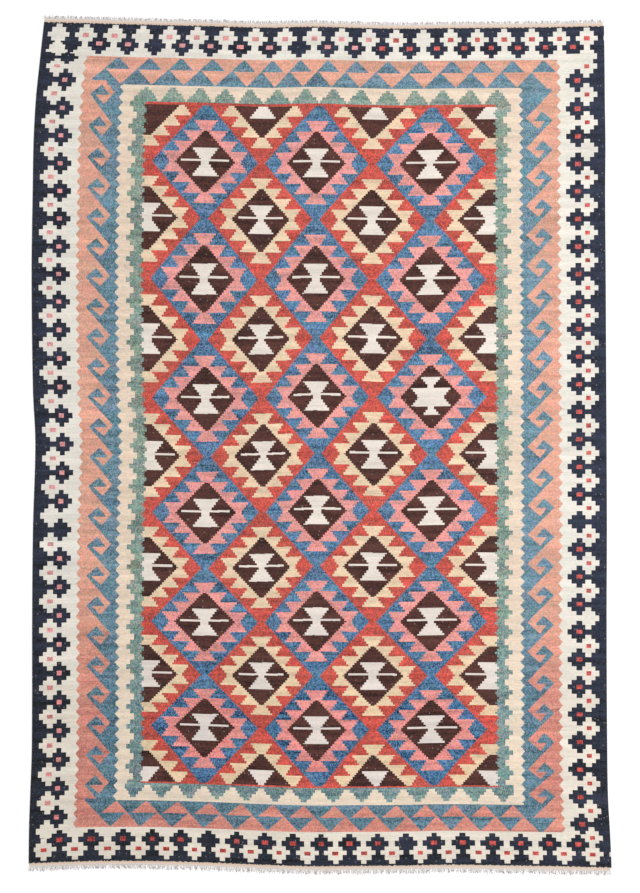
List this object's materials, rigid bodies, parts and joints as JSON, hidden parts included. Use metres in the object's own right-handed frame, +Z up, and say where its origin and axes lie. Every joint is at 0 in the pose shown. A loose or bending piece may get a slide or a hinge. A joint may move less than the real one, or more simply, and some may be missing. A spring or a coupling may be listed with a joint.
{
  "type": "kilim rug",
  "caption": "Flat-woven wool rug with stepped cross borders, hooked border, diamond field, plain end bands and a short cut fringe.",
  "frame": {"origin": "middle of the rug's footprint, on the surface it lies on", "axes": "+X across the width to the right, +Y along the length to the far end, +Z up"},
  "size_m": [1.998, 2.9488, 0.003],
  "materials": {
    "dyed_wool": "matt slit-tapestry wool in many colours",
    "warp_ends": "matt plain-woven band with cut, frayed warp ends"
  },
  "bodies": {
    "root": {"kilim_cloth": "dyed_wool", "far_fringe": "warp_ends", "near_fringe": "warp_ends"}
  },
  "joints": []
}
